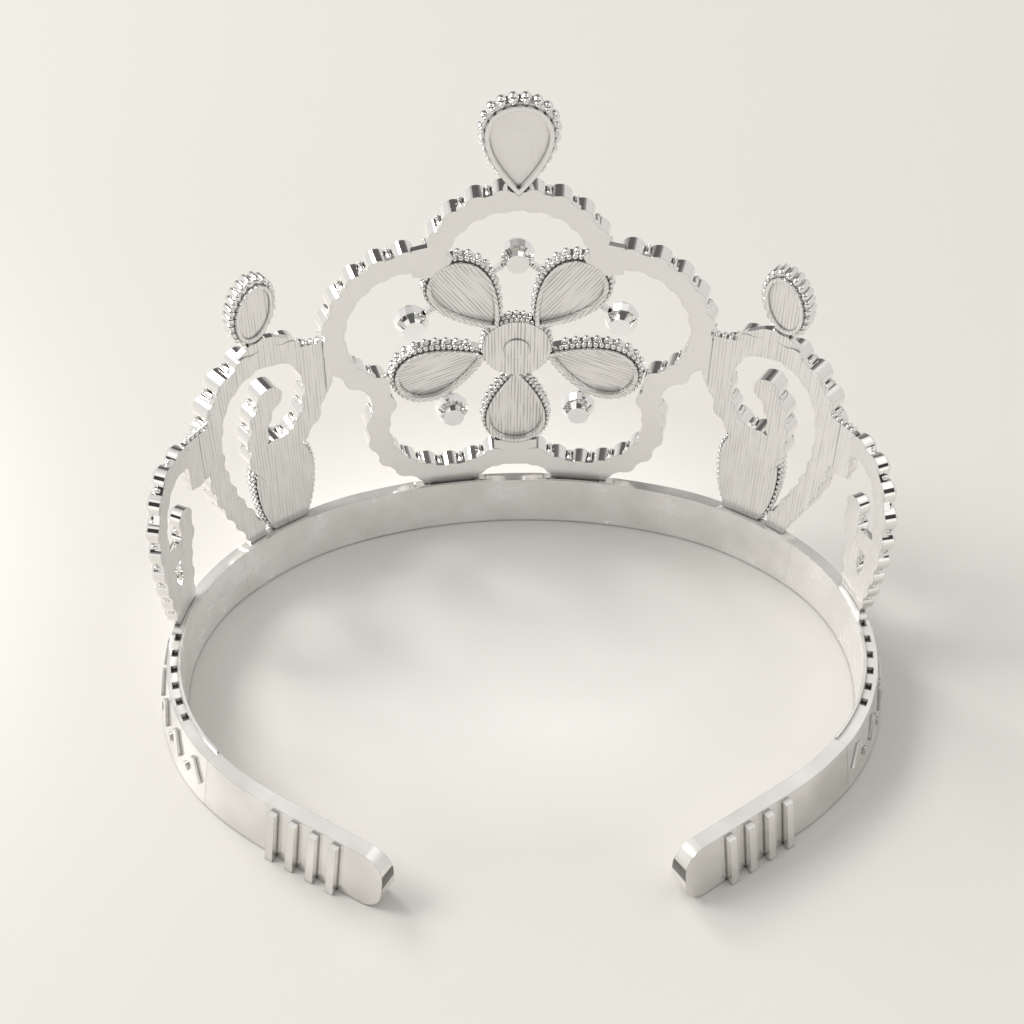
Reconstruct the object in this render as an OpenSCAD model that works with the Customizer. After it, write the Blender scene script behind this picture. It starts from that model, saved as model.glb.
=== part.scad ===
// Princess tiara: a C-shaped headband with a pierced crest of round drums.
// Z is up and the tiara stands on its band. The crest is at the front, towards -Y,
// and the band is open at the back, towards +Y. Left is the wearer's left, +X.
// The crest is laid out by s, the way along its curved back from the middle, and the height z.

/* [Headband] */
// Height of the inner rim above the surface it stands on
band_h = 11; // [9:0.5:14]
// Height of the ledge that carries the crest
ledge_h = 10.5; // [8.5:0.5:13.5]
// Width of the band at the ledge, from the inner wall
ledge_w = 2.5; // [2.4:0.1:3]
// Width of the band at its underside
foot_w = 4.6; // [3.6:0.1:6]
// Thickness of the inner rim
rim_t = 0.5; // [0.4:0.1:0.8]
// Inner radius of the band at the front
front_r = 92; // [80:1:110]
// Inner radius of the band at the front shoulder
shoulder_r = 53; // [45:1:60]
// Inner radius of the band at the side
side_r = 32; // [28:1:36]
// Inner radius of the band where it turns to the back
turn_r = 50; // [40:1:60]
// Straight length of each end of the band
tail_l = 22.5; // [20:0.5:28]
// Corner radius of the band's ends
end_corner_r = 4; // [2:0.5:4.5]

/* [Grip ribs] */
// Number of grip ribs at each end
rib_n = 4; // [2:1:4]
// Distance between grip ribs
rib_pitch = 4; // [3.5:0.5:5]
// Width of a grip rib
rib_w = 1.5; // [1:0.1:2]
// How far a grip rib stands proud
rib_proud = 1.3; // [0.5:0.1:2]

/* [Bars and pockets] */
// Way along the band to the first slanted bar
bar_start = 7.5; // [3:0.1:9]
// Distance between the slanted bars
bar_pitch = 6.4; // [6:0.1:9]
// Length of a slanted bar
bar_l = 4.7; // [3:0.1:6]
// Number of slanted bars on each half of the band
bar_n = 16; // [4:1:16]
// Way along the band to the first pocket in the ledge
pocket_start = 78.2; // [70:0.1:90]
// Distance between the pockets in the ledge
pocket_pitch = 3.6; // [3:0.1:5]
// Number of pockets behind each end scroll
pocket_n = 6; // [2:1:7]

/* [Drums] */
// Diameter of a drum
drum_d = 4.6; // [3.6:0.1:4.8]
// Depth of a drum, from its flat back
drum_depth = 4.2; // [3:0.1:5]
// Depth of a drum of the end scrolls
end_depth = 2.6; // [2.2:0.1:4]
// Width of the flat strip behind the drums
strip_w = 3.6; // [3:0.1:4.2]
// Thickness of the flat strips and webs
plate_t = 1.1; // [0.8:0.1:1.1]

/* [Flower] */
// Height of the flower's centre
flower_z = 42.4; // [41:0.1:44]
// Diameter of the centre disc
disc_d = 12.2; // [11:0.1:13]
// Distance from the flower's centre to the tip of a petal's recess
petal_start = 6.7; // [6:0.1:7]
// Length of a petal's recess
petal_l = 15.3; // [14:0.1:16]
// Width of a petal's recess
petal_w = 9.5; // [9:0.1:11]
// Width of the flat border round a recess
border_w = 0.8; // [0.6:0.1:1]
// Width of the rim in front of the border, which carries the beads
rim_w = 1.3; // [1:0.1:1.6]
// Depth of a petal, from its flat back
petal_depth = 3; // [2.5:0.1:3.5]
// Depth of the recess in the back
recess_depth = 1; // [0.5:0.1:1.5]
// Diameter of the boss on the back of the centre disc
boss_d = 4.6; // [4:0.1:5]

/* [Finials] */
// Height of the tip of the top finial's recess
finial_z = 76.3; // [75:0.1:78]
// Length of the top finial's recess
finial_l = 14.9; // [13:0.1:16]
// Width of the top finial's recess
finial_w = 9.7; // [9:0.1:12]
// Way along the crest to the middle of a side finial
oval_s = 46; // [45:0.1:47]
// Height of the middle of a side finial
oval_z = 60.8; // [60:0.1:62]
// Width of a side finial
oval_w = 8; // [7:0.1:9]
// Height of a side finial
oval_h = 12; // [11:0.1:13]
// Lean of a side finial towards the middle, in degrees
oval_lean = 17; // [0:1:25]

/* [Stones] */
// Height of a stone above its setting
stone_h = 2.6; // [1.5:0.1:3]
// Width of a drop at its girdle
drop_d = 6.2; // [6:0.1:7.2]
// Width of the flat back of a drop
drop_back_d = 3.9; // [3:0.1:5]

/* [Hidden] */
$fn = 48;
silver = [0.79, 0.78, 0.75];
bright = [0.88, 0.88, 0.88];
gap = 0.06;
lap = 0.4;
step = 0.02;
crest_gap = ledge_w - plate_t;

// The band's plan: inner radius of each arc, and the turn from the front at which it ends
arc_r = [front_r, shoulder_r, side_r, turn_r];
arc_end = [18, 46, 132, 147];
last_arc = len(arc_r) - 1;
tail_turn = arc_end[last_arc];

function normal(turn) = [sin(turn), -cos(turn)];
function tangent(turn) = [cos(turn), sin(turn)];
function arc_start(i) = i == 0 ? 0 : arc_end[i - 1];
function arc_sweep(i) = arc_end[i] - arc_start(i);
function plan_c(i) = i == 0
    ? [0, arc_r[0]]
    : plan_c(i - 1) + (arc_r[i - 1] - arc_r[i]) * normal(arc_start(i));
plan_end = plan_c(last_arc) + arc_r[last_arc] * normal(tail_turn) + tail_l * tangent(tail_turn);

// The origin is under the middle of the whole tiara's box
front_reach = crest_gap + petal_depth + gap + stone_h;
end_w = foot_w - (foot_w - ledge_w) * end_corner_r / ledge_h;
back_reach = plan_end[1] + end_w * normal(tail_turn)[1];
front_y = (front_reach - back_reach) / 2;

function arc_c(i) = plan_c(i) + [0, front_y];
function wall_r(i) = arc_r[i] + crest_gap;
function arc_len(i) = wall_r(i) * arc_sweep(i) * PI / 180;
function arc_s(i) = i == 0 ? 0 : arc_s(i - 1) + arc_len(i - 1);
function arc_at(s, i = 0) = i == last_arc || s < arc_s(i + 1) ? i : arc_at(s, i + 1);
function turn_half(s) = let (i = arc_at(s)) arc_start(i) + (s - arc_s(i)) / wall_r(i) * 180 / PI;
function turn_at(s) = s < 0 ? -turn_half(-s) : turn_half(s);
function place_half(s) = let (i = arc_at(s)) arc_c(i) + wall_r(i) * normal(turn_half(s));
function place_at(s) = s < 0 ? [-place_half(-s)[0], place_half(-s)[1]] : place_half(s);

// Points round an arc on the crest, evenly spaced, with angles clockwise from straight up
function round_arc(c, r, from, to, n) = [
    for (i = [0 : n - 1])
    let (a = from + (to - from) * i / (n - 1))
    [c[0] + r * sin(a), c[1] + r * cos(a)]
];
function teardrop(l, w, n = 28) = [
    for (i = [0 : n - 1])
    let (a = 360 * (i + 0.5) / n)
    [w / 2 * sin(a) * sin(a / 2) / 0.77, l / 2 * (1 - cos(a))]
];
function oval(w, h, n = 28) = [
    for (i = [0 : n - 1])
    let (a = 360 * i / n)
    [w / 2 * sin(a), h / 2 * cos(a)]
];
function leaf(w, above, below, n = 28) = [
    for (i = [0 : n - 1])
    let (a = 360 * i / n)
    [w / 2 * sin(a), (cos(a) > 0 ? above : below) * cos(a)]
];

// Strips of drums: arcs with centre s and z, radius, first and last angle, number of drums
top_lobe = round_arc([1.3, 60.9], 13.2, 5, 83, 5);
side_lobe = round_arc([18.4, 49.1], 14.1, 3, 151, 9);
low_lobe = round_arc([12.2, 26.1], 13.3, 64, 219, 9);
side_outer = concat(
    round_arc([44.9, 38.9], 12.6, -2, 82, 5),
    [[57.9, 34.4], [57.5, 29.9], [56.5, 25.5], [55.1, 21.3], [53.3, 17.2], [51.5, 13]]
);
side_inner = [[40.7, 50.2], [37.8, 47], [36.6, 42.8], [36.9, 38.4], [38.2, 34.3], [40.7, 30.9], [45.2, 30]];
scroll = [[48.4, 29.6], [48.4, 33.7], [47.5, 37.9]];
scroll_head = [45.3, 41.7];
end_hook = [[61.9, 34.9], [61.9, 39.3], [65.3, 41.3], [69.5, 40.6], [72.7, 37.8]];
end_outer = [[75, 34], [75.7, 29.7], [75.8, 25.2], [75.3, 20.8], [74.5, 16.5], [73.7, 12.7]];
end_inner = [[67.6, 25.1], [69, 20.9], [69.5, 16.6], [70.2, 12.5]];
end_head = [67.2, 29.3];
frame_seam_s = 34.5;
scroll_seam_s = 60.5;

// Puts children on the crest: x along the crest, y up, z outward from its back
module at_wall(s, z) {
    translate([place_at(s)[0], place_at(s)[1], z])
        rotate([90, 0, turn_at(s)])
            children();
}

module both_sides() {
    children();
    mirror([1, 0, 0]) children();
}

// One drum: a flat back, a straight side and a rounded front
module drum(d = drum_d, h = drum_depth) {
    dome = 0.7;
    rotate_extrude()
        polygon([
            [0, 0], [d / 2, 0], [d / 2, h - dome],
            [d / 2 - 0.35 * dome, h - 0.35 * dome], [d / 2 - dome, h], [0, h]
        ]);
}

// The flat link behind two neighbouring drums
module link(a, b) {
    l = norm(b - a);
    at_wall((a[0] + b[0]) / 2, (a[1] + b[1]) / 2)
        rotate([0, 0, atan2(b[1] - a[1], b[0] - a[0])])
            translate([-l / 2, -strip_w / 2, 0])
                cube([l, strip_w, plate_t]);
}

module strip(points, h = drum_depth) {
    for (p = points)
        at_wall(p[0], p[1]) drum(h = h);
    for (i = [0 : len(points) - 2])
        link(points[i], points[i + 1]);
}

// A flat web between strips, with its corners given by s and z
module web(corners) {
    c = [for (p = corners) 1 / len(corners)] * corners;
    at_wall(c[0], c[1])
        linear_extrude(plate_t)
            polygon([for (p = corners) p - c]);
}

// Everything below the band's ledge
module below_ledge() {
    translate([-80, -80, -1])
        cube([160, 160, ledge_h + gap + 1]);
}

// A foot that stands on the band's ledge
module foot(s, w, top) {
    at_wall(s, ledge_h)
        translate([-w / 2, 0, 0])
            cube([w, top - ledge_h, plate_t]);
}

// The band's section: inner wall, rim, ledge and flared outer face, drawn in by g all round
module band_section(rim, g) {
    polygon([
        [g, g], [foot_w - g, g], [ledge_w - g, ledge_h - g],
        if (rim) [rim_t - g, ledge_h - g], if (rim) [rim_t - g, band_h - g], if (rim) [g, band_h - g],
        if (!rim) [g, ledge_h - g]
    ]);
}

// One stretch of the band. A stretch that is drawn in a hair more ends inside the next one,
// so that no two faces coincide.
module band_arc(i, from, to, rim, g) {
    translate([arc_c(i)[0], arc_c(i)[1], 0])
        rotate([0, 0, from - 90])
            rotate_extrude(angle = to - from, $fn = 180)
                translate([arc_r[i], 0])
                    band_section(rim, g);
}

// Puts children at the band's end: x outward, y up, z back along the tail from its end
module at_tail() {
    translate([plan_end[0], plan_end[1] + front_y, 0])
        rotate([90, 0, tail_turn - 90])
            children();
}

module tail() {
    difference() {
        at_tail() linear_extrude(tail_l) band_section(false, step);
        at_tail() end_corner();
        at_tail() translate([0, ledge_h, 0]) mirror([0, 1, 0]) end_corner();
    }
    at_tail()
        for (i = [0 : rib_n - 1])
            translate([0, 0, 9 + i * rib_pitch - rib_w / 2])
                linear_extrude(rib_w)
                    polygon([
                        [1, 0], [foot_w + rib_proud, 0],
                        [ledge_w + rib_proud, ledge_h - 0.8], [1, ledge_h - 0.8]
                    ]);
}

// What is cut away to round one corner of the band's end, seen from the side
module end_corner() {
    r = end_corner_r;
    translate([-1, 0, 0])
        rotate([0, 90, 0])
            linear_extrude(foot_w + 2)
                difference() {
                    translate([-r, -1]) square([r + 1, r + 1]);
                    translate([-r, r]) circle(r);
                }
}

// Puts children on the band's flared outer face, z outward from it
module at_outer_face(s, z) {
    flare = foot_w - ledge_w;
    at_wall(s, z)
        translate([0, 0, ledge_w - crest_gap + flare * (1 - z / ledge_h)])
            rotate([-atan(flare / ledge_h), 0, 0])
                children();
}

module bars() {
    bar_w = 1.4;
    bar_proud = 0.5;
    sunk = 0.6;
    slant = 27;
    dot_d = 1.6;
    for (i = [0 : bar_n - 1]) {
        s = bar_start + i * bar_pitch;
        at_outer_face(s, 6)
            rotate([0, 0, slant])
                translate([-bar_w / 2, -bar_l / 2, -sunk])
                    cube([bar_w, bar_l, sunk + bar_proud]);
        at_outer_face(s - 2.9, 4)
            translate([0, 0, -sunk])
                cylinder(h = sunk + bar_proud, d = dot_d);
    }
}

module pockets() {
    pocket_w = 1.5;
    pocket_depth = 1.2;
    clear = 0.15;
    for (i = [0 : pocket_n - 1])
        at_wall(pocket_start + i * pocket_pitch, ledge_h - pocket_depth)
            translate([-pocket_w / 2, 0, rim_t + clear - crest_gap])
                cube([pocket_w, pocket_depth + 1, 1.1]);
}

module slots() {
    slot_depth = 3;
    clear = 0.15;
    at_wall(11.9, ledge_h - slot_depth)
        translate([-4.2, 0, rim_t + clear - crest_gap])
            cube([8.4, slot_depth + 1, crest_gap - rim_t - 2 * clear]);
}

module headband() {
    land_w = 13.6;
    color(bright)
    union() {
        difference() {
            union() {
                band_arc(0, -arc_end[0] - lap, arc_end[0] + lap, true, step);
                both_sides() {
                    band_arc(1, arc_end[0], arc_end[1], true, 0);
                    band_arc(2, arc_end[1] - lap, arc_end[2], true, step);
                    band_arc(3, arc_end[2] - lap, arc_end[3] + lap, false, 2 * step);
                    tail();
                }
            }
            both_sides() {
                pockets();
                slots();
            }
        }
        both_sides() bars();
        at_wall(0, ledge_h - 1)
            translate([-land_w / 2, 0, 0.4 - crest_gap])
                cube([land_w, 1 + band_h - ledge_h, crest_gap - 0.5]);
    }
}

// A teardrop with its recess from [0, 0] upward and a border of width b round it
module teardrop_outline(l, w, b) {
    tip = b + 0.4;
    translate([0, -tip])
        polygon(teardrop(l + tip + b, w + 2 * b));
}

// A flat border at the back and a wider rim in front of it, both grown by g
module setting(l, w, back, front, g) {
    rim_start = 0.7;
    translate([0, 0, -back])
        linear_extrude(back + petal_depth / 2)
            teardrop_outline(l, w, border_w + g);
    translate([0, 0, rim_start - g])
        linear_extrude(front - rim_start + g)
            teardrop_outline(l, w, rim_w + g);
}

module recess(l, w) {
    translate([0, 0, -1])
        linear_extrude(recess_depth + 1)
            polygon(teardrop(l, w));
}

function petal_c(k) = let (r = petal_start + petal_l / 2) [r * sin(72 * k + 36), r * cos(72 * k + 36)];

// Puts children in the plane of one petal, with the flower's centre as origin and the petal upward
module at_petal(k) {
    c = petal_c(k);
    at_wall(c[0], flower_z + c[1])
        translate([-c[0], -c[1], 0])
            rotate([0, 0, -72 * k - 36])
                children();
}

module at_side_finial() {
    at_wall(oval_s, oval_z)
        rotate([0, 0, oval_lean])
            children();
}

// Distance from the flower's centre to each drop
function drop_r(k) = [18.7, 19, 19.5, 19.5, 19][k];

module at_drop(k) {
    r = drop_r(k);
    at_wall(r * sin(72 * k), flower_z + r * cos(72 * k))
        rotate([0, 0, -72 * k])
            children();
}

// An arm from a drop towards the flower, at an angle from the drop's own right
module arm(k, angle) {
    arm_w = 0.8;
    arm_l = 3.4;
    arm_h = 1;
    at_drop(k)
        rotate([0, 0, angle])
            translate([drop_d / 2 + gap, -arm_w / 2, petal_depth - arm_h])
                cube([arm_l, arm_w, arm_h]);
}

module flower() {
    boss_h = 0.3;
    color(silver)
    difference() {
        union() {
            at_wall(0, flower_z) {
                cylinder(h = petal_depth, d = disc_d);
                translate([0, 0, -boss_h]) cylinder(h = 1, d = boss_d);
            }
            for (k = [0 : 4])
                at_petal(k)
                    translate([0, petal_start, 0])
                        setting(petal_l, petal_w, 0, petal_depth, 0);
            for (k = [0, 3, 4])
                arm(k, -36);
            for (k = [0, 1, 2])
                arm(k, 216);
        }
        for (k = [0 : 4])
            at_petal(k)
                translate([0, petal_start, 0])
                    recess(petal_l, petal_w);
    }
}

module finial() {
    color(silver)
    at_wall(0, finial_z)
        difference() {
            setting(finial_l, finial_w, 0, petal_depth, 0);
            recess(finial_l, finial_w);
        }
}

// Prisms that clear the frames from the flower and the finials
module flower_clearance() {
    for (k = [0 : 4])
        at_petal(k)
            translate([0, petal_start, 0])
                setting(petal_l, petal_w, 1, drum_depth + 1, gap);
}

module finial_clearance() {
    at_wall(0, finial_z)
        setting(finial_l, finial_w, 1, drum_depth + 1, gap);
}

module centre_frame() {
    color(silver)
    difference() {
        union() {
            both_sides() {
                strip(top_lobe);
                strip(side_lobe);
                strip(low_lobe);
                link(side_lobe[8], low_lobe[0]);
                web([[18.4, 62], [18, 65.5], [14.6, 66], [11, 63], [13, 59], [18, 60]]);
                web([[33.2, 41], [34.4, 38.2], [34.4, 50], [32.6, 50]]);
                foot(12.2, 10.4, 13.6);
            }
            link(top_lobe[0], [-top_lobe[0][0], top_lobe[0][1]]);
            link(low_lobe[8], [-low_lobe[8][0], low_lobe[8][1]]);
            at_wall(0, flower_z - petal_start - petal_l - border_w - 3.4)
                translate([-4, 0, 0])
                    cube([8, 4, plate_t]);
        }
        below_ledge();
        flower_clearance();
        finial_clearance();
        both_sides() frame_side_cut();
    }
}

// Everything of the centre frame past the seam with the side frame
module frame_side_cut() {
    at_wall(frame_seam_s, 0)
        translate([0, 0, -3])
            cube([8, 80, drum_depth + 6]);
}

module side_frame() {
    leaf_z = 22.5;
    color(silver)
    difference() {
        union() {
            strip(side_outer);
            strip(side_inner);
            strip(scroll);
            link(side_outer[0], side_inner[0]);
            link(scroll[2], scroll_head);
            web([[42, 24], [48, 23.5], [50.8, 28], [49, 31], [42, 31]]);
            at_wall(scroll_head[0], scroll_head[1]) drum(5);
            web([[34.2, 39.4], [38.4, 34.8], [38, 44], [39, 50.5], [34.2, 50]]);
            web([[38, 50.6], [40.2, 53], [43.2, 54.9], [46.5, 55.6], [50, 53.4], [51, 50], [45, 49], [40, 48]]);
            at_wall(44, leaf_z)
                linear_extrude(plate_t + 0.6)
                    polygon(leaf(11.6, 8.8, 14.5));
            web([[56.5, 42.6], [58, 43.4], [62, 43.4], [62, 33], [57.5, 33]]);
            foot(51.2, 3.6, 13);
        }
        below_ledge();
        at_side_finial()
            translate([0, 0, -1])
                linear_extrude(drum_depth + 2)
                    polygon(oval(oval_w + 2 * gap, oval_h + 2 * gap));
        at_wall(frame_seam_s + gap, 0)
            translate([-8, 0, -3])
                cube([8, 80, drum_depth + 6]);
        at_wall(scroll_seam_s, 0)
            translate([0, 0, -3])
                cube([8, 80, drum_depth + 6]);
    }
}

module side_frame_left() {
    side_frame();
}

module side_frame_right() {
    mirror([1, 0, 0]) side_frame();
}

module side_finial() {
    rim_start = 0.7;
    lip = 0.5;
    dip = 0.4;
    color(silver)
    at_side_finial()
        difference() {
            union() {
                linear_extrude(petal_depth)
                    polygon(oval(oval_w - 2 * lip, oval_h - 2 * lip));
                translate([0, 0, rim_start])
                    linear_extrude(petal_depth - rim_start)
                        polygon(oval(oval_w, oval_h));
            }
            translate([0, 0, -1])
                linear_extrude(dip + 1)
                    polygon(oval(oval_w - 2 * lip - 1.4, oval_h - 2 * lip - 1.4));
        }
}

module side_finial_left() {
    side_finial();
}

module side_finial_right() {
    mirror([1, 0, 0]) side_finial();
}

module end_scroll() {
    color(silver)
    difference() {
        union() {
            strip(end_hook, end_depth);
            strip(end_outer, end_depth);
            link(end_hook[4], end_outer[0]);
            web([[59, 43.4], [64, 43.4], [64, 33], [59, 33]]);
            strip(end_inner, end_depth);
            link(end_head, end_inner[0]);
            at_wall(end_head[0], end_head[1]) drum(4, end_depth);
            web([[68.4, 25.8], [74.5, 27.5], [74.5, 22.8], [69, 22.3]]);
            web([[69.5, 17], [74.5, 17], [74.5, 10], [69.5, 10]]);
            foot(73.7, 3.6, 13);
            foot(70.2, 3.6, 13);
        }
        below_ledge();
        at_wall(scroll_seam_s + gap, 0)
            translate([-8, 0, -3])
                cube([8, 80, drum_depth + 6]);
    }
}

module end_scroll_left() {
    end_scroll();
}

module end_scroll_right() {
    mirror([1, 0, 0]) end_scroll();
}

// A solid through rings of points that all have the same number of points
module ringed(rings) {
    n = len(rings[0]);
    m = len(rings);
    polyhedron(
        points = [for (ring = rings) each ring],
        faces = concat(
            [[for (i = [n - 1 : -1 : 0]) i]],
            [
                for (j = [0 : m - 2])
                for (i = [0 : n - 1])
                each [
                    [j * n + i, j * n + (i + 1) % n, (j + 1) * n + i],
                    [j * n + (i + 1) % n, (j + 1) * n + (i + 1) % n, (j + 1) * n + i]
                ]
            ],
            [[for (i = [0 : n - 1]) (m - 1) * n + i]]
        )
    );
}

function lifted(points, scale, centre, z) = [
    for (p = points) [centre[0] + (p[0] - centre[0]) * scale, centre[1] + (p[1] - centre[1]) * scale, z]
];

// A cut stone over an outline: girdle, two rows of facets and a table
module cut_stone(outline, between, centre) {
    ringed([
        lifted(outline, 0.94, centre, 0),
        lifted(outline, 1, centre, 0.2 * stone_h),
        lifted(between, 0.86, centre, 0.6 * stone_h),
        lifted(outline, 0.6, centre, stone_h)
    ]);
}

function oval_ring(w, h, n, step) = [
    for (i = [0 : n - 1])
    let (a = 360 * (i + step) / n)
    [w / 2 * sin(a), h / 2 * cos(a)]
];
function drop_ring(l, w, n, step) = [
    for (i = [0 : n - 1])
    let (a = 360 * (i + step + 0.25) / n)
    [w / 2 * sin(a) * sin(a / 2) / 0.77, l / 2 * (1 - cos(a))]
];

module petal_stone(k) {
    color(bright)
    at_petal(k)
        translate([0, petal_start, petal_depth + gap])
            cut_stone(drop_ring(petal_l, petal_w, 16, 0), drop_ring(petal_l, petal_w, 16, 0.5), [0, 9]);
}

module petal_stone_1() {
    petal_stone(0);
}

module petal_stone_2() {
    petal_stone(1);
}

module petal_stone_3() {
    petal_stone(2);
}

module petal_stone_4() {
    petal_stone(3);
}

module petal_stone_5() {
    petal_stone(4);
}

module centre_stone() {
    d = disc_d - 2 * border_w;
    color(bright)
    at_wall(0, flower_z)
        translate([0, 0, petal_depth + gap])
            cut_stone(oval_ring(d, d, 16, 0), oval_ring(d, d, 16, 0.5), [0, 0]);
}

module finial_stone() {
    color(bright)
    at_wall(0, finial_z)
        translate([0, 0, petal_depth + gap])
            cut_stone(drop_ring(finial_l, finial_w, 16, 0), drop_ring(finial_l, finial_w, 16, 0.5), [0, 9]);
}

module side_stone() {
    w = oval_w - 1.6;
    h = oval_h - 1.6;
    color(bright)
    at_side_finial()
        translate([0, 0, petal_depth + gap])
            cut_stone(oval_ring(w, h, 16, 0), oval_ring(w, h, 16, 0.5), [0, 0]);
}

module side_stone_left() {
    side_stone();
}

module side_stone_right() {
    mirror([1, 0, 0]) side_stone();
}

// A faceted drop: small flat back, fluted cone, girdle and a crown with a table
module drop(k) {
    color(bright)
    at_drop(k)
        ringed([
            lifted(oval_ring(drop_back_d, drop_back_d, 14, 0), 1, [0, 0], 0),
            lifted(oval_ring(drop_d, drop_d, 14, 0), 0.93, [0, 0], 1.6),
            lifted(oval_ring(drop_d, drop_d, 14, 0), 1, [0, 0], 3.2),
            lifted(oval_ring(drop_d, drop_d, 14, 0.5), 0.84, [0, 0], 4.3),
            lifted(oval_ring(drop_d, drop_d, 14, 0), 0.55, [0, 0], 5.2)
        ]);
}

module drop_1() {
    drop(0);
}

module drop_2() {
    drop(1);
}

module drop_3() {
    drop(2);
}

module drop_4() {
    drop(3);
}

module drop_5() {
    drop(4);
}

headband();
centre_frame();
flower();
finial();
side_frame_left();
side_frame_right();
side_finial_left();
side_finial_right();
end_scroll_left();
end_scroll_right();
petal_stone_1();
petal_stone_2();
petal_stone_3();
petal_stone_4();
petal_stone_5();
centre_stone();
finial_stone();
side_stone_left();
side_stone_right();
drop_1();
drop_2();
drop_3();
drop_4();
drop_5();
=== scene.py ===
"""Looks of the princess tiara: bead work, plating, floor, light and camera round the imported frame.

Sizes are in millimetres unless a name says otherwise, and are turned into metres by wall_matrix.
The crest is laid out by s, the way along its curved back from the middle, and the height z.
"""
import math
from collections import namedtuple

import bpy
import numpy as np
from mathutils import Matrix, Vector


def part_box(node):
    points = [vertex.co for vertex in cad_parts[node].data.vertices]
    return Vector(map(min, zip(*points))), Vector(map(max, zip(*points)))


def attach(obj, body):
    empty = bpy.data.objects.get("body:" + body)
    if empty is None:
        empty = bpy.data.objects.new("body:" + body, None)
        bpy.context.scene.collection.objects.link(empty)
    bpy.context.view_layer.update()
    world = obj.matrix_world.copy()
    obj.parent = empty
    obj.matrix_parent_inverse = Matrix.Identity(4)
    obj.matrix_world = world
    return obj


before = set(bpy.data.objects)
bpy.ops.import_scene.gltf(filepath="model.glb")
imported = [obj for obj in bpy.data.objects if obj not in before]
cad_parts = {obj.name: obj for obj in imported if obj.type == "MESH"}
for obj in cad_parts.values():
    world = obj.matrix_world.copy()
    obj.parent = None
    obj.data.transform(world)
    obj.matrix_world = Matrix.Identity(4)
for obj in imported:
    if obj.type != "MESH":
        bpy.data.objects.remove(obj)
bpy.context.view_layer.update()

MM = 0.001

# The band's plan and the crest's sizes, as the solids have them
ARC_R = (92, 53, 32, 50)
ARC_END = (18, 46, 132, 147)
TAIL_L = 22.5
CREST_GAP = 1.4
LEDGE_H = 10.5
GAP = 0.06
STONE_H = 2.6
PETAL_DEPTH = 3
DRUM_DEPTH = 4.2
END_DEPTH = 2.6
FLOWER_Z = 42.4
DISC_D = 12.2
PETAL_START = 6.7
PETAL_L = 15.3
PETAL_W = 9.5
FINIAL_Z = 76.3
FINIAL_L = 14.9
FINIAL_W = 9.7
OVAL_S = 46
OVAL_Z = 60.8
OVAL_W = 8
OVAL_H = 12
OVAL_LEAN = 17
LEAF_S = 44
LEAF_Z = 22.5
LEAF_W = 11.6
LEAF_ABOVE = 8.8
LEAF_BELOW = 14.5

# The fixed direction that the left tail's end faces
TAIL_END = (math.cos(math.radians(ARC_END[-1])), math.sin(math.radians(ARC_END[-1])), 0)

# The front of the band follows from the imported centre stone
FRONT_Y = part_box("centre_stone")[0][1] / MM + CREST_GAP + PETAL_DEPTH + GAP + STONE_H

SIDES = {"left": 1, "right": -1}

# How far a teardrop's tip reaches past its border, and the largest value of the curve that gives its width
TIP_EXTRA = 0.4
TEARDROP_WIDEST = 0.77

# Rows of beads. A border is the distance outside the plain outline, near and far are how far outward the
# centres of a post's two ends are, and a phase of 0.5 shifts a row by half a pitch.
Row = namedtuple("Row", "border pitch near far radius phase")
PETAL_ROWS = (
    Row(border=1.15, pitch=1.05, near=0.85, far=0.85, radius=0.5, phase=0.0),
    Row(border=1.2, pitch=1.9, near=2.2, far=2.5, radius=0.78, phase=0.0),
    Row(border=1.25, pitch=1.9, near=1.5, far=1.5, radius=0.42, phase=0.5),
)
DISC_ROWS = (
    Row(border=0.0, pitch=0.95, near=0.6, far=0.6, radius=0.42, phase=0.0),
    Row(border=0.0, pitch=0.95, near=1.4, far=1.4, radius=0.42, phase=0.5),
    Row(border=0.0, pitch=1.3, near=2.3, far=2.6, radius=0.58, phase=0.0),
)
FINIAL_ROWS = (
    Row(border=1.2, pitch=1.95, near=0.85, far=0.85, radius=0.5, phase=0.5),
    Row(border=1.15, pitch=1.95, near=2.0, far=2.4, radius=0.95, phase=0.0),
)
OVAL_ROWS = (Row(border=-0.15, pitch=1.5, near=1.1, far=2.9, radius=0.72, phase=0.0),)
LEAF_ROWS = (
    Row(border=0.25, pitch=1.3, near=0.75, far=0.9, radius=0.52, phase=0.0),
    Row(border=0.25, pitch=1.3, near=2.0, far=2.6, radius=0.5, phase=0.5),
)

# Where the rows stop: clear of the disc, of the finial's tip and of the ledge, and below the leaf's top
PETAL_ROWS_FROM = 0.9
FINIAL_ROWS_FROM = 2.4
LEAF_ROWS_ABOVE_LEDGE = 0.6
LEAF_ROWS_TO = 4.5
LEAF_GROW = 0.2

# Single beads and the studs in the notches between drums
Bead = namedtuple("Bead", "near far radius")
FOOT_BEAD = Bead(near=0.5, far=1.6, radius=0.4)
SEAM_BEAD = Bead(near=0.5, far=1.1, radius=0.48)
LUMP_REACH = 1.45
LUMP_RADIUS = 0.55
LUMP_NEAR = 0.9
LUMP_SHORT = 1.3
BALL_REACH = 1.8
BALL_RADIUS = 0.3
BALL_SHORT = 1.2
STUDS_ABOVE_LEDGE = 1


# Places on the crest

def plan_normal(turn):
    return np.array([math.sin(turn), -math.cos(turn)])


def plan_centres():
    centres = [np.array([0.0, ARC_R[0] + FRONT_Y])]
    for i in range(1, len(ARC_R)):
        turn = math.radians(ARC_END[i - 1])
        centres.append(centres[-1] + (ARC_R[i - 1] - ARC_R[i]) * plan_normal(turn))
    return centres


CENTRES = plan_centres()


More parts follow.
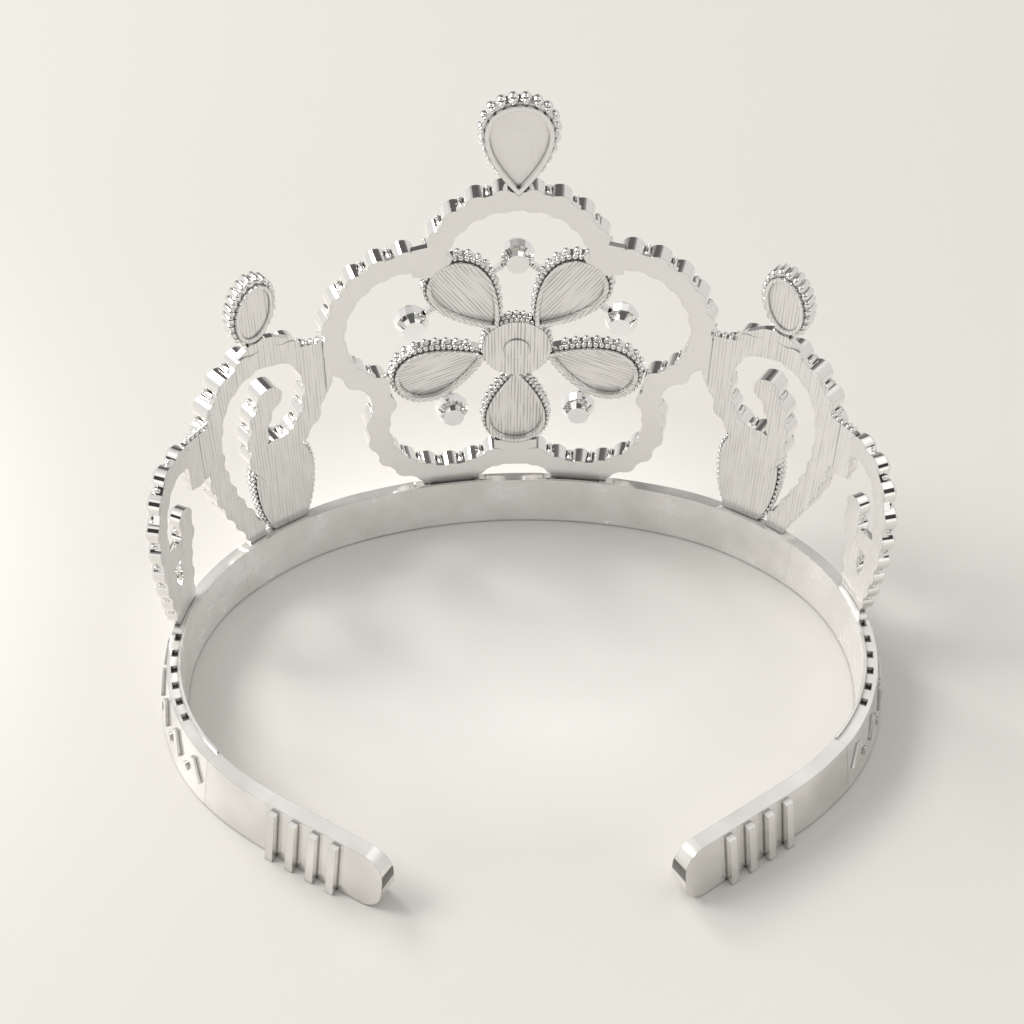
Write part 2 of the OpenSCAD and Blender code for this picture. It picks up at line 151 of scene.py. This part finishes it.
def wall_place(s):
    """The plan point of the crest's back at s, and the turn of the wall there."""
    if s < 0:
        (x, y), turn = wall_place(-s)
        return np.array([-x, y]), -turn
    start = 0.0
    turn_from = 0
    last = len(ARC_R) - 1
    for i, turn_to in enumerate(ARC_END):
        radius = ARC_R[i] + CREST_GAP
        length = radius * math.radians(turn_to - turn_from)
        if s < start + length or i == last:
            turn = math.radians(turn_from) + (s - start) / radius
            return CENTRES[i] + radius * plan_normal(turn), turn
        start += length
        turn_from = turn_to


def wall_matrix(s, z, spin=0.0):
    """Takes a local place in mm (x along, y up, z outward) to metres.

    The spin is in degrees, clockwise from behind.
    """
    point, turn = wall_place(s)
    along = Vector((math.cos(turn), math.sin(turn), 0))
    out = Vector((math.sin(turn), -math.cos(turn), 0))
    axes = Matrix((along, Vector((0, 0, 1)), out)).transposed().to_4x4()
    place = Matrix.Translation(Vector((point[0], point[1], z)) * MM)
    return place @ axes @ Matrix.Rotation(math.radians(spin), 4, "Z") @ Matrix.Scale(MM, 4)


def teardrop(length, width, border, count=240):
    """Outline of a teardrop: a recess of the given size, which starts at [0, 0], and a border round it."""
    tip = border + TIP_EXTRA
    full_l = length + tip + border
    full_w = width + 2 * border
    a = 2 * math.pi * (np.arange(count) + 0.5) / count
    across = full_w / 2 * np.sin(a) * np.sin(a / 2) / TEARDROP_WIDEST
    return np.stack([across, full_l / 2 * (1 - np.cos(a)) - tip], -1)


def oval(width, above, below, count=240):
    a = 2 * math.pi * np.arange(count) / count
    reach = np.where(np.cos(a) > 0, above, below)
    return np.stack([width / 2 * np.sin(a), reach * np.cos(a)], -1)


def spaced(outline, pitch, phase=0.0):
    """Points about one pitch apart along a closed outline."""
    closed = np.vstack([outline, outline[:1]])
    steps = np.linalg.norm(np.diff(closed, axis=0), axis=1)
    way = np.concatenate([[0], np.cumsum(steps)])
    count = max(3, round(way[-1] / pitch))
    at = (np.arange(count) + phase) / count * way[-1]
    return np.stack([np.interp(at, way, closed[:, 0]), np.interp(at, way, closed[:, 1])], -1)


# Bead work: many small posts with round ends, joined into one piece

def post_mesh(segments, rings):
    """A unit sphere as vertices and faces; its upper half can be moved along z to make a post."""
    verts = [(0, 0, -1)]
    for r in range(1, rings):
        tilt = math.pi * r / rings
        for k in range(segments):
            a = 2 * math.pi * k / segments
            verts.append((math.sin(tilt) * math.cos(a), math.sin(tilt) * math.sin(a), -math.cos(tilt)))
    verts.append((0, 0, 1))
    top = len(verts) - 1
    faces = [(0, 1 + (k + 1) % segments, 1 + k) for k in range(segments)]
    for r in range(rings - 2):
        a = 1 + r * segments
        b = a + segments
        faces += [(a + k, a + (k + 1) % segments, b + (k + 1) % segments, b + k) for k in range(segments)]
    last = 1 + (rings - 2) * segments
    faces += [(last + k, last + (k + 1) % segments, top) for k in range(segments)]
    return np.array(verts), faces


def posts(name, spots, material, segments=12, rings=8):
    """One mesh of posts. Each spot is (matrix, x, y, near, far, radius)."""
    ball, ball_faces = post_mesh(segments, rings)
    verts = []
    faces = []
    for matrix, x, y, near, far, radius in spots:
        first = len(verts)
        for vx, vy, vz in ball:
            end = far if vz > 0 else near
            verts.append(matrix @ Vector((x + radius * vx, y + radius * vy, end + radius * vz)))
        faces += [tuple(first + i for i in face) for face in ball_faces]
    mesh = bpy.data.meshes.new(name)
    mesh.from_pydata([tuple(v) for v in verts], [], faces)
    mesh.shade_smooth()
    piece = bpy.data.objects.new(name, mesh)
    bpy.context.scene.collection.objects.link(piece)
    piece.data.materials.append(material)
    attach(piece, "root")
    return piece


def petal_matrix(k):
    """The plane of one petal, with the flower's centre as origin and the petal upward."""
    angle = math.radians(72 * k + 36)
    r = PETAL_START + PETAL_L / 2
    cx, cy = r * math.sin(angle), r * math.cos(angle)
    to_centre = Matrix.Translation((-cx, -cy, 0))
    return wall_matrix(cx, FLOWER_Z + cy) @ to_centre @ Matrix.Rotation(-angle, 4, "Z")


def row_posts(matrix, outline_at, rows, keep=None):
    """Spots along an outline for each row; outline_at gives the outline at a border."""
    return [(matrix, x, y, row.near, row.far, row.radius)
            for row in rows
            for x, y in spaced(outline_at(row.border), row.pitch, row.phase)
            if keep is None or keep(x, y)]


def flower_spots():
    def petal_outline(border):
        return teardrop(PETAL_L, PETAL_W, border)

    def disc_outline(border):
        return oval(DISC_D + 2 * border, DISC_D / 2 + border, DISC_D / 2 + border)

    spots = []
    for k in range(5):
        matrix = petal_matrix(k) @ Matrix.Translation((0, PETAL_START, 0))
        spots += row_posts(matrix, petal_outline, PETAL_ROWS, lambda x, y: y > PETAL_ROWS_FROM)
    return spots + row_posts(wall_matrix(0, FLOWER_Z), disc_outline, DISC_ROWS)


def finial_spots():
    def outline(border):
        return teardrop(FINIAL_L, FINIAL_W, border)

    return row_posts(wall_matrix(0, FINIAL_Z), outline, FINIAL_ROWS, lambda x, y: y > FINIAL_ROWS_FROM)


def side_finial_spots(side):
    def outline(border):
        return oval(OVAL_W + 2 * border, OVAL_H / 2 + border, OVAL_H / 2 + border)

    return row_posts(wall_matrix(side * OVAL_S, OVAL_Z, side * OVAL_LEAN), outline, OVAL_ROWS)


def leaf_spots(side):
    """Two rows of beads along the leaf, and a few loose ones at its foot."""
    def outline(border):
        return oval(LEAF_W + 2 * border, LEAF_ABOVE + LEAF_GROW, LEAF_BELOW + LEAF_GROW)

    matrix = wall_matrix(side * LEAF_S, LEAF_Z)
    lowest = LEDGE_H - LEAF_Z + LEAF_ROWS_ABOVE_LEDGE
    spots = row_posts(matrix, outline, LEAF_ROWS, lambda x, y: lowest < y < LEAF_ROWS_TO)
    return spots + [(matrix, side * x, y, *FOOT_BEAD) for x, y in FOOT_BEADS]


def round_arc(centre, radius, start, end, count):
    angles = np.radians(np.linspace(start, end, count))
    return [(centre[0] + radius * math.sin(a), centre[1] + radius * math.cos(a)) for a in angles]


# The strips of drums: the same centres as the solids have
TOP_LOBE = round_arc((1.3, 60.9), 13.2, 5, 83, 5)
SIDE_LOBE = round_arc((18.4, 49.1), 14.1, 3, 151, 9)
LOW_LOBE = round_arc((12.2, 26.1), 13.3, 64, 219, 9)
SIDE_OUTER = round_arc((44.9, 38.9), 12.6, -2, 82, 5) + [
    (57.9, 34.4), (57.5, 29.9), (56.5, 25.5), (55.1, 21.3), (53.3, 17.2), (51.5, 13)
]
SIDE_INNER = [(40.7, 50.2), (37.8, 47), (36.6, 42.8), (36.9, 38.4), (38.2, 34.3), (40.7, 30.9), (45.2, 30)]
SCROLL = [(48.4, 29.6), (48.4, 33.7), (47.5, 37.9), (45.3, 41.7)]
END_HOOK = [(61.9, 34.9), (61.9, 39.3), (65.3, 41.3), (69.5, 40.6), (72.7, 37.8)]
END_OUTER = [(75, 34), (75.7, 29.7), (75.8, 25.2), (75.3, 20.8), (74.5, 16.5), (73.7, 12.7)]
END_INNER = [(67.2, 29.3), (67.6, 25.1), (69, 20.9), (69.5, 16.6), (70.2, 12.5)]

# Beads on the upper edges of the webs, where the strips of neighbouring frames meet
SEAM_BEADS = [
    (35.1, 50.1), (36.3, 50.2), (37.5, 50.3),
    (58.4, 43.4), (59.5, 43.4), (60.6, 43.4), (61.7, 43.4), (62.8, 43.4),
]

# Loose beads at the foot of a leaf, from the leaf's middle
FOOT_BEADS = [
    (2.9, -11.2), (3.6, -11.3), (3.2, -10.4), (4.0, -10.6),
    (-2.6, -11.2), (-3.2, -11.3), (-2.9, -10.4),
]


def stud_spots(strip, sign, depth):
    """A thick low lump and a small ball in each notch between two drums, on both sides of a strip."""
    studs = (
        (LUMP_REACH, LUMP_NEAR, depth - LUMP_SHORT, LUMP_RADIUS),
        (BALL_REACH, depth - BALL_SHORT, depth - BALL_SHORT, BALL_RADIUS),
    )
    spots = []
    for (s0, z0), (s1, z1) in zip(strip, strip[1:]):
        run = np.array([s1 - s0, z1 - z0])
        across = np.array([run[1], -run[0]]) / np.linalg.norm(run)
        for side in (-1, 1):
            for reach, near, far, radius in studs:
                s = (s0 + s1) / 2 + side * reach * across[0]
                z = (z0 + z1) / 2 + side * reach * across[1]
                if z > LEDGE_H + STUDS_ABOVE_LEDGE:
                    spots.append((wall_matrix(sign * s, z), 0, 0, near, far, radius))
    return spots


# Materials

BRIGHT = (0.90, 0.89, 0.87)
STONE_COLOUR = (0.93, 0.93, 0.93)
SATIN_LIGHT = (0.94, 0.93, 0.91)
SATIN_DARK = (0.50, 0.49, 0.46)
BAND_SHADE = (0.80, 0.79, 0.76)
REFLECTION_STRIPE_COLOUR = (0.16, 0.16, 0.15)
FLOOR_PALE = (0.77, 0.757, 0.725)
FLOOR_DEEP = (0.745, 0.732, 0.695)
FLOOR_LIT = (0.93, 0.918, 0.885)

# Painted reflections: dark stripes across the band's two end faces, by height
ReflectionStripe = namedtuple("ReflectionStripe", "fade_in full full_to gone strength")
CAP_REFLECTION_STRIPES = (
    ReflectionStripe(fade_in=5.0, full=5.4, full_to=7.8, gone=8.2, strength=1.0),
    ReflectionStripe(fade_in=1.8, full=2.0, full_to=2.6, gone=2.9, strength=0.8),
)

# The painted reflection stripes lie within this much of the band's ends, and the grip ribs farther from them
CAP_FADE_IN = 4.0
CAP_FULL = 3.0

# The lit part of the floor: an oval inside the band
LIT_HALF_W = 60.0
LIT_HALF_D = 45.0
LIT_Y = -20.0


class Graph:
    """Short calls for building a node tree."""

    def __init__(self, tree):
        self.tree = tree
        self.nodes = tree.nodes

    def feed(self, socket, value):
        if isinstance(value, bpy.types.NodeSocket):
            self.tree.links.new(value, socket)
        else:
            socket.default_value = value

    def math(self, operation, a, b=0.0):
        node = self.nodes.new("ShaderNodeMath")
        node.operation = operation
        self.feed(node.inputs[0], a)
        self.feed(node.inputs[1], b)
        return node.outputs[0]

    def add(self, a, b):
        return self.math("ADD", a, b)

    def sub(self, a, b):
        return self.math("SUBTRACT", a, b)

    def mul(self, a, b):
        return self.math("MULTIPLY", a, b)

    def top(self, a, b):
        return self.math("MAXIMUM", a, b)

    def ramp(self, value, low, high, out_low=0.0, out_high=1.0, kind="LINEAR"):
        node = self.nodes.new("ShaderNodeMapRange")
        node.interpolation_type = kind
        keys = ("Value", "From Min", "From Max", "To Min", "To Max")
        for key, given in zip(keys, (value, low, high, out_low, out_high)):
            self.feed(node.inputs[key], given)
        return node.outputs[0]

    def window(self, value, fade_in, full, full_to, gone, strength=1.0, kind="LINEAR"):
        """The strength between two values, and 0 outside them."""
        rise = self.ramp(value, fade_in, full, kind=kind)
        return self.mul(rise, self.ramp(value, full_to, gone, strength, 0.0, kind))

    def split(self, vector):
        node = self.nodes.new("ShaderNodeSeparateXYZ")
        self.feed(node.inputs[0], vector)
        return node.outputs


class Surface(Graph):
    """The tree of a new material, with what plated and painted surfaces need."""

    def __init__(self, name):
        self.material = bpy.data.materials.new(name)
        self.material.use_nodes = True
        super().__init__(self.material.node_tree)
        self.shader = self.nodes["Principled BSDF"]

    def put(self, socket, value):
        self.feed(self.shader.inputs[socket], value)

    def mix(self, factor, a, b):
        node = self.nodes.new("ShaderNodeMix")
        node.data_type = "RGBA"
        self.feed(node.inputs["Factor"], factor)
        self.feed(node.inputs["A"], (*a, 1) if isinstance(a, tuple) else a)
        self.feed(node.inputs["B"], (*b, 1) if isinstance(b, tuple) else b)
        return node.outputs["Result"]

    def noise(self, vector, scale, detail=2.0):
        node = self.nodes.new("ShaderNodeTexNoise")
        self.feed(node.inputs["Vector"], vector)
        node.inputs["Scale"].default_value = scale
        node.inputs["Detail"].default_value = detail
        return node.outputs["Fac"]

    def join(self, x, y, z):
        node = self.nodes.new("ShaderNodeCombineXYZ")
        for socket, value in zip(node.inputs, (x, y, z)):
            self.feed(socket, value)
        return node.outputs[0]

    def vector(self, operation, a, b=(0, 0, 0)):
        node = self.nodes.new("ShaderNodeVectorMath")
        node.operation = operation
        self.feed(node.inputs[0], a)
        self.feed(node.inputs[1], b)
        return node.outputs["Value" if operation == "DOT_PRODUCT" else "Vector"]

    def scaled(self, vector, factor):
        node = self.nodes.new("ShaderNodeVectorMath")
        node.operation = "SCALE"
        self.feed(node.inputs[0], vector)
        self.feed(node.inputs["Scale"], factor)
        return node.outputs["Vector"]

    def object_place(self):
        return self.nodes.new("ShaderNodeTexCoord").outputs["Object"]

    def place(self):
        """The place on the piece, in millimetres."""
        return self.scaled(self.object_place(), 1 / MM)

    def true_normal(self):
        return self.nodes.new("ShaderNodeNewGeometry").outputs["True Normal"]

    def painted_crevice_shade(self, reach=0.5, dark=0.3):
        """Painted shade: darker where other surfaces are close, as in the grooves between beads."""
        node = self.nodes.new("ShaderNodeAmbientOcclusion")
        node.samples = 6
        node.inputs["Distance"].default_value = reach * MM
        return self.ramp(node.outputs["AO"], 0.25, 0.8, dark, 1.0)

    def edge(self, reach=0.22, dark=0.62):
        """Painted shade: darker along sharp edges."""
        node = self.nodes.new("ShaderNodeBevel")
        node.samples = 4
        node.inputs["Radius"].default_value = reach * MM
        alike = self.vector("DOT_PRODUCT", node.outputs["Normal"], self.true_normal())
        return self.ramp(alike, 0.75, 0.98, dark, 1.0)

    def facing(self, direction, low=0.75, high=0.92):
        """1 where the surface faces a fixed direction."""
        return self.ramp(self.vector("DOT_PRODUCT", self.true_normal(), direction), low, high)

    def outward(self):
        """1 where a wall faces away from the middle of the head hollow, and -1 where it faces it."""
        flat = self.vector("MULTIPLY", self.object_place(), (1, 1, 0))
        return self.vector("DOT_PRODUCT", self.true_normal(), self.vector("NORMALIZE", flat))

    def bump(self, height, strength, distance):
        node = self.nodes.new("ShaderNodeBump")
        self.feed(node.inputs["Strength"], strength)
        node.inputs["Distance"].default_value = distance
        self.feed(node.inputs["Height"], height)
        self.put("Normal", node.outputs["Normal"])


def polished(name, colour, roughness):
    """Bright plating, with a faint cloudiness that a moulded surface keeps."""
    g = Surface(name)
    at = g.place()
    deeper = tuple(0.94 * c for c in colour)
    cloudy = 0.06
    g.put("Metallic", 1.0)
    # Painted shade darkens the base colour where other surfaces are close, as between beads.
    g.put("Base Color", g.scaled(g.mix(g.noise(at, 0.4), colour, deeper), g.painted_crevice_shade()))
    g.put("Roughness", g.ramp(g.noise(at, 1.1), 0.3, 0.7, roughness, roughness + cloudy))
    return g.material


def brushed_lines(g, across, along):
    """High on the smooth satin and low on fine scratches: a close wave that wanders and fades in and out."""
    pitch = 0.58
    wander = 8.0
    line_depth = 0.36
    broad_depth = 0.3
    smooth_level = 0.62

    def streaks(seed, stretch, scale, detail):
        return g.noise(g.join(across, seed, g.mul(along, stretch)), scale, detail)

    shift = g.mul(streaks(3.0, 0.08, 0.7, 2.0), wander)
    wave = g.ramp(g.math("SINE", g.add(g.mul(across, 2 * math.pi / pitch), shift)), 0.0, 0.95)
    strength = g.ramp(streaks(9.0, 0.15, 1.1, 1.0), 0.32, 0.62, 0.15, 1.0)
    broad = g.mul(g.sub(streaks(5.0, 0.12, 0.45, 2.0), 0.5), broad_depth)
    return g.add(g.sub(smooth_level, g.mul(g.mul(wave, strength), line_depth)), broad)


def petal_ways(g, x, z):
    """The ways across and along the nearest petal. On the disc they are level and upright."""
    up = g.sub(z, FLOWER_Z)
    fifth = math.radians(72)
    turn = g.math("ARCTAN2", x, up)
    nearest = g.math("ROUND", g.math("DIVIDE", g.sub(turn, fifth / 2), fifth))
    petal = g.add(g.mul(nearest, fifth), fifth / 2)
    radius = g.math("SQRT", g.add(g.mul(x, x), g.mul(up, up)))
    angle = g.mul(petal, g.math("GREATER_THAN", radius, PETAL_START - 0.5))
    sine = g.math("SINE", angle)
    cosine = g.math("COSINE", angle)
    return g.sub(g.mul(x, cosine), g.mul(up, sine)), g.add(g.mul(x, sine), g.mul(up, cosine))


def plated(name, back, contrast, depth, petals=False):
    """Polished sides and front, and a brushed satin back that faces the given direction."""
    g = Surface(name)
    at = g.place()
    x, y, z = g.split(at)
    mask = g.facing(back)
    if petals:
        across, along = petal_ways(g, x, z)
    else:
        across, along = g.add(g.mul(x, back[1]), g.mul(y, -back[0])), z
    scratch = brushed_lines(g, across, along)
    tone = g.mix(g.ramp(scratch, 0.36, 0.58), SATIN_DARK, SATIN_LIGHT)
    faded = g.ramp(g.noise(at, 0.25), 0.35, 0.65, 1.0 - contrast, 1.15 - contrast)
    tone = g.mix(faded, tone, SATIN_LIGHT)
    # Painted shade: darker in grooves, where surfaces are close, and along sharp edges.
    painted_shade = g.mul(g.painted_crevice_shade(), g.edge())
    g.put("Base Color", g.scaled(g.mix(mask, BRIGHT, tone), painted_shade))
    polish = 0.07
    satin = g.ramp(scratch, 0.3, 0.7, 0.42, 0.30)
    g.put("Roughness", g.add(g.mul(mask, g.sub(satin, polish)), polish))
    g.put("Metallic", g.sub(1.0, g.mul(mask, 0.45)))
    g.bump(g.mul(scratch, mask), depth, 0.03 * MM)
    return g.material


def painted_cap_reflections(g, x, y, z):
    """1 in the painted reflections, dark stripes across the faces of the band's two ends."""
    mirrored = (-TAIL_END[0], TAIL_END[1], 0)
    faces = g.top(g.facing(TAIL_END, 0.93, 0.97), g.facing(mirrored, 0.93, 0.97))
    upper, lower = (g.window(z, *stripe) for stripe in CAP_REFLECTION_STRIPES)
    end = float(np.dot(CENTRES[-1], TAIL_END[:2])) + TAIL_L
    along = g.add(g.mul(g.math("ABSOLUTE", x), TAIL_END[0]), g.mul(y, TAIL_END[1]))
    near_end = g.ramp(along, end - CAP_FADE_IN, end - CAP_FULL)
    return g.mul(g.mul(faces, near_end), g.top(upper, lower))


def band_plating(name):
    """A satin inner wall, a brighter ledge and outer face, faint long flow marks, painted reflections on the
    end faces, and painted shade in the pockets and along the edges.
    """
    g = Surface(name)
    at = g.place()
    x, y, z = g.split(at)
    inward = g.ramp(g.outward(), -0.5, -0.3, 1.0, 0.0)
    ledge = g.facing((0, 0, 1), 0.4, 0.6)
    g.put("Metallic", g.sub(g.sub(0.95, g.mul(inward, 0.65)), g.mul(ledge, 0.35)))
    marks = g.noise(g.join(g.mul(x, 0.15), g.mul(y, 0.15), z), 2.4, 2.0)
    mottle = g.add(g.mul(g.noise(at, 0.12, 3.0), 0.88), g.mul(marks, 0.12))
    base = g.mix(g.ramp(mottle, 0.35, 0.65), BAND_SHADE, SATIN_LIGHT)
    # Painted reflections: dark stripes on the faces of the band's ends.
    base = g.mix(painted_cap_reflections(g, x, y, z), base, REFLECTION_STRIPE_COLOUR)
    # Painted shade: darker in the pockets and grooves and along sharp edges.
    g.put("Base Color", g.scaled(base, g.mul(g.painted_crevice_shade(0.9, 0.12), g.edge(0.2, 0.55))))
    g.put("Roughness", g.add(g.ramp(mottle, 0.3, 0.7, 0.1, 0.2), g.mul(inward, 0.1)))
    g.bump(g.noise(at, 0.3), 0.03, 0.1 * MM)
    return g.material


def floor_material():
    """Pale and slightly glossy; lighter inside the band, where the plating throws light on it."""
    g = Surface("pale_floor")
    at = g.place()
    x, y, _ = g.split(at)
    wide = g.math("DIVIDE", x, LIT_HALF_W)
    deep = g.math("DIVIDE", g.sub(y, LIT_Y), LIT_HALF_D)
    way = g.math("SQRT", g.add(g.mul(wide, wide), g.mul(deep, deep)))
    outside = g.mix(g.noise(at, 0.004, 2.0), FLOOR_PALE, FLOOR_DEEP)
    g.put("Base Color", g.mix(g.ramp(way, 0.7, 1.25, 1.0, 0.0), outside, FLOOR_LIT))
    g.put("Roughness", 0.26)
    g.put("Specular IOR Level", 0.4)
    return g.material


def back_of(s):
    """The fixed direction that the crest's back faces at s."""
    turn = wall_place(s)[1]
    return (-math.sin(turn), math.cos(turn), 0)


def clad(node, material):
    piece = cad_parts[node]
    for i in range(max(1, len(piece.data.materials))):
        if i < len(piece.data.materials):
            piece.data.materials[i] = material
        else:
            piece.data.materials.append(material)


BEAD = polished("bead_plating", BRIGHT, roughness=0.05)
STONE = polished("stone_plating", STONE_COLOUR, roughness=0.03)
SIDE_MIDDLE = 47
END_MIDDLE = 69

# Nodes that come in pairs: the s of their middle, and the contrast and depth of their scratches
Pair = namedtuple("Pair", "node material middle contrast depth")
PAIRS = (
    Pair("side_frame_", "side_plating_", middle=SIDE_MIDDLE, contrast=0.5, depth=0.4),
    Pair("side_finial_", "side_finial_plating_", middle=OVAL_S, contrast=0.6, depth=0.4),
    Pair("end_scroll_", "end_plating_", middle=END_MIDDLE, contrast=0.3, depth=0.2),
)

clad("headband", band_plating("band_plating"))
clad("centre_frame", plated("centre_plating", back_of(0), contrast=0.05, depth=0.08))
clad("flower", plated("flower_plating", back_of(0), contrast=0.9, depth=0.6, petals=True))
clad("finial", plated("finial_plating", back_of(0), contrast=0.1, depth=0.1))
for side_name, sign in SIDES.items():
    for pair in PAIRS:
        back = back_of(sign * pair.middle)
        clad(pair.node + side_name, plated(pair.material + side_name, back, pair.contrast, pair.depth))
    clad("side_stone_" + side_name, STONE)
for k in range(1, 6):
    clad("petal_stone_%d" % k, STONE)
    clad("drop_%d" % k, STONE)
clad("centre_stone", STONE)
clad("finial_stone", STONE)

posts("flower_beads", flower_spots(), BEAD)
posts("finial_beads", finial_spots(), BEAD, segments=16, rings=10)
centre_studs = []
for sign in (1, -1):
    for strip in (TOP_LOBE, SIDE_LOBE, LOW_LOBE):
        centre_studs += stud_spots(strip, sign, DRUM_DEPTH)
posts("centre_studs", centre_studs, BEAD, segments=10, rings=6)
for side_name, sign in SIDES.items():
    posts("side_finial_beads_" + side_name, side_finial_spots(sign), BEAD)
    posts("leaf_beads_" + side_name, leaf_spots(sign), BEAD)
    side_studs = []
    for strip in (SIDE_OUTER, SIDE_INNER, SCROLL):
        side_studs += stud_spots(strip, sign, DRUM_DEPTH)
    for strip in (END_HOOK, END_OUTER, END_INNER):
        side_studs += stud_spots(strip, sign, END_DEPTH)
    side_studs += [(wall_matrix(sign * s, z), 0, 0, *SEAM_BEAD) for s, z in SEAM_BEADS]
    posts("side_studs_" + side_name, side_studs, BEAD, segments=10, rings=6)


# Floor, light and camera; sizes here are in metres

FLOOR_SIZE = 6.0
FLOOR_DROP = 0.0001
ROOM_COLOUR = (1.0, 0.985, 0.955, 1)
LAMP_COLOUR = (1.0, 0.98, 0.95)
LAMP_TARGET = (0, 0, 0.02)
Lamp = namedtuple("Lamp", "name place size power")
LAMPS = (
    Lamp("key", place=(1.1, -0.28, 1.1), size=0.7, power=10.5),
    Lamp("ahead", place=(0.75, -1.0, 1.05), size=0.6, power=7.5),
)


def floor():
    bpy.ops.mesh.primitive_plane_add(size=FLOOR_SIZE, location=(0, 0, -FLOOR_DROP))
    plane = bpy.context.object
    plane.name = "floor"
    plane.data.materials.append(floor_material())


def surroundings():
    """A pale room, lit from both sides, from overhead and from behind the camera.

    Three parts are dark: an opening high up ahead, the ceiling right above, and a strip behind the camera.
    x, y and z are the direction in which the room is seen, each from -1 to 1.
    """
    world = bpy.data.worlds.new("studio")
    bpy.context.scene.world = world
    world.use_nodes = True
    world.node_tree.nodes.clear()
    g = Graph(world.node_tree)
    out = g.nodes.new("ShaderNodeOutputWorld")
    background = g.nodes.new("ShaderNodeBackground")
    g.feed(out.inputs[0], background.outputs[0])
    x, y, z = g.split(g.nodes.new("ShaderNodeTexCoord").outputs["Generated"])
    soft = "SMOOTHSTEP"

    def ramp(value, low, high, out_low=0.0, out_high=1.0):
        return g.ramp(value, low, high, out_low, out_high, soft)

    left = ramp(x, 0.3, 0.6, 0.0, 0.53)
    right = ramp(x, -0.3, -0.12, 0.42, 0.0)
    overhead = ramp(z, 0.6, 0.95, 0.31, 0.8)
    fill = ramp(y, 0.1, 0.6, 0.0, 0.3)
    room = g.add(g.add(left, right), g.add(overhead, fill))

    wide = g.window(x, -0.40, -0.35, 0.33, 0.38, kind=soft)
    high = g.window(z, 0.40, 0.44, 0.70, 0.74, kind=soft)
    ahead = ramp(y, -0.2, 0.0, 1.0, 0.0)
    opening = g.mul(g.mul(g.mul(wide, high), ahead), 0.64)
    ceiling = g.mul(ramp(z, 0.92, 0.96, 0.0, 0.9), ramp(y, -0.15, -0.05))
    aside = g.mul(ramp(g.math("ABSOLUTE", x), 0.38, 0.45), ramp(z, 0.36, 0.4))
    strip_from = g.top(aside, ramp(z, 0.52, 0.56))
    behind = g.mul(ramp(y, 0.28, 0.34), g.mul(strip_from, ramp(z, 0.78, 0.82, 1.0, 0.0)))

    darkest = 0.95
    dark = g.mul(g.top(g.top(opening, behind), ceiling), darkest)
    g.feed(background.inputs["Color"], ROOM_COLOUR)
    g.feed(background.inputs["Strength"], g.mul(room, g.sub(1.0, dark)))


def area_light(lamp):
    data = bpy.data.lights.new(lamp.name, "AREA")
    data.shape = "DISK"
    data.size = lamp.size
    data.energy = lamp.power
    data.color = LAMP_COLOUR
    light = bpy.data.objects.new(lamp.name, data)
    light.location = lamp.place
    aim = Vector(LAMP_TARGET) - Vector(lamp.place)
    light.rotation_euler = aim.to_track_quat("-Z", "Y").to_euler()
    bpy.context.scene.collection.objects.link(light)


def camera():
    """The photograph's camera: behind the crest, looking down at it."""
    pitch, yaw, roll = (math.radians(a) for a in (45.8, -2.52, 0.75))
    target = Vector((0.42, -41.5, 0)) * MM
    distance = 333.3 * MM
    focal_px = 1700
    image_px = 1024
    ahead = Vector((math.sin(yaw) * math.cos(pitch), -math.cos(yaw) * math.cos(pitch), -math.sin(pitch)))
    level_right = ahead.cross(Vector((0, 0, 1))).normalized()
    level_up = level_right.cross(ahead)
    right = math.cos(roll) * level_right + math.sin(roll) * level_up
    up = -math.sin(roll) * level_right + math.cos(roll) * level_up
    data = bpy.data.cameras.new("camera")
    data.sensor_fit = "HORIZONTAL"
    sensor_mm = 36
    data.sensor_width = sensor_mm
    data.lens = focal_px / image_px * sensor_mm
    data.clip_start = 0.01
    view = bpy.data.objects.new("camera", data)
    axes = Matrix((right, up, -ahead)).transposed().to_4x4()
    view.matrix_world = Matrix.Translation(target - distance * ahead) @ axes
    bpy.context.scene.collection.objects.link(view)
    bpy.context.scene.camera = view


floor()
surroundings()
for lamp in LAMPS:
    area_light(lamp)
camera()
bpy.context.scene.view_settings.view_transform = "Standard"
